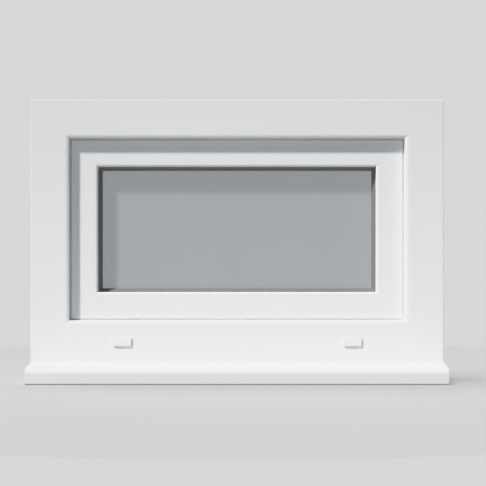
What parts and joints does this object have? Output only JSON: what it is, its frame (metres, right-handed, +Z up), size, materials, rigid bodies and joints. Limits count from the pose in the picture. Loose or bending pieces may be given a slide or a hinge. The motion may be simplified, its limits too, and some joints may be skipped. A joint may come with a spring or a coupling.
{
  "type": "window",
  "caption": "Small white top-hung window: recessed double-glazed sash on a pair of two-bar friction stays, with handle, lock, drain caps and projecting sill.",
  "frame": {"origin": "on the sill's bedding face, at mid-width and under the middle of the frame's depth", "axes": "+X along the sill to the right as seen from outside, -Y outdoors, +Z up"},
  "size_m": [0.8, 0.186, 0.545],
  "materials": {
    "white_upvc": "extruded white uPVC, satin gloss",
    "sill_upvc": "extruded white uPVC, satin gloss",
    "white_trim": "moulded white plastic",
    "white_handle": "white powder coat",
    "grey_rubber": "matt grey EPDM",
    "pale_rubber": "matt pale grey elastomer, extruded with the sash",
    "black_rubber": "matt black EPDM",
    "galvanised_steel": "galvanised",
    "stainless_steel": "rolled stainless steel, brushed",
    "zinc_casting": "zinc plated die casting",
    "black_nylon": "moulded black nylon",
    "brass": "plain brass",
    "aluminium": "mill finish",
    "packer_plastic": "moulded blue plastic",
    "grey_glass": "lightly tinted float glass",
    "clear_glass": "clear float glass"
  },
  "bodies": {
    "frame": {"frame_head": "white_upvc", "frame_jamb_left": "white_upvc", "frame_jamb_right": "white_upvc", "frame_bottom_rail": "white_upvc", "frame_base_strip": "white_upvc", "frame_steels": "galvanised_steel", "frame_seal": "black_rubber", "sill_board": "sill_upvc", "sill_end_cap_left": "sill_upvc", "sill_end_cap_right": "sill_upvc", "drain_cap_left": "white_trim", "drain_cap_right": "white_trim", "stay_track_left": "stainless_steel", "stay_track_right": "stainless_steel", "track_end_cap_left": "black_nylon", "track_end_cap_right": "black_nylon", "track_rivets": "stainless_steel", "track_screws": "stainless_steel", "keep_left": "zinc_casting", "keep_right": "zinc_casting", "keep_screws": "stainless_steel"},
    "arm_left": {"support_arm_left": "stainless_steel"},
    "arm_right": {"support_arm_right": "stainless_steel"},
    "sash": {"sash_top_rail": "white_upvc", "sash_bottom_rail": "white_upvc", "sash_stile_left": "white_upvc", "sash_stile_right": "white_upvc", "sash_steels": "galvanised_steel", "outer_pane": "grey_glass", "inner_pane": "clear_glass", "spacer_bar": "aluminium", "edge_sealant": "black_rubber", "outer_glazing_seal": "grey_rubber", "inner_glazing_seal": "grey_rubber", "sash_lip_seal": "pale_rubber", "bead_top": "white_upvc", "bead_bottom": "white_upvc", "bead_left": "white_upvc", "bead_right": "white_upvc", "glazing_packers": "packer_plastic", "sash_arm_left": "stainless_steel", "sash_arm_right": "stainless_steel", "sash_arm_rivets": "stainless_steel", "sash_arm_screws": "stainless_steel", "lock_faceplate": "stainless_steel", "lock_screws": "stainless_steel", "lock_gearbox": "zinc_casting", "handle_base": "white_handle", "handle_screws": "stainless_steel"},
    "slider_left": {"shoe_left": "black_nylon", "brake_screw_left": "brass"},
    "slider_right": {"shoe_right": "black_nylon", "brake_screw_right": "brass"},
    "drive": {"drive_rod": "galvanised_steel", "locking_cams": "zinc_casting"},
    "handle": {"lock_pinion": "zinc_casting", "spindle": "galvanised_steel", "handle_lever": "white_handle"}
  },
  "joints": [
    {"name": "sash_swing", "type": "hinge", "parent": "arm_left", "child": "sash", "pos_m": [-0.3225, -0.005, 0.36], "axis": [-1, 0, 0], "range_deg": [0, 100], "deforming": ["frame_seal", "sash_lip_seal"]},
    {"name": "stay_arm_left", "type": "hinge", "parent": "frame", "child": "arm_left", "pos_m": [-0.324, -0.005, 0.275], "axis": [1, 0, 0], "range_deg": [0, 50]},
    {"name": "stay_arm_right", "type": "hinge", "parent": "frame", "child": "arm_right", "pos_m": [0.324, -0.005, 0.275], "axis": [1, 0, 0], "range_deg": [0, 50]},
    {"name": "shoe_pivot_left", "type": "hinge", "parent": "sash", "child": "slider_left", "pos_m": [-0.328, -0.005, 0.445], "axis": [1, 0, 0], "range_deg": [0, 50]},
    {"name": "shoe_pivot_right", "type": "hinge", "parent": "sash", "child": "slider_right", "pos_m": [0.328, -0.005, 0.445], "axis": [1, 0, 0], "range_deg": [0, 50]},
    {"name": "handle_turn", "type": "hinge", "parent": "sash", "child": "handle", "pos_m": [0, 0.043, 0.145], "axis": [0, -1, 0], "range_deg": [0, 90]},
    {"name": "drive_slide", "type": "slide", "parent": "sash", "child": "drive", "axis": [1, 0, 0], "range_m": [0, 0.018]}
  ],
  "couplings": [
    {"joint": "stay_arm_left", "follows": "sash_swing", "ratio": 0.5},
    {"joint": "stay_arm_right", "follows": "sash_swing", "ratio": 0.5},
    {"joint": "shoe_pivot_left", "follows": "sash_swing", "ratio": 0.5},
    {"joint": "shoe_pivot_right", "follows": "sash_swing", "ratio": 0.5},
    {"joint": "drive_slide", "follows": "handle_turn", "m_per_rad": 0.011459}
  ]
}
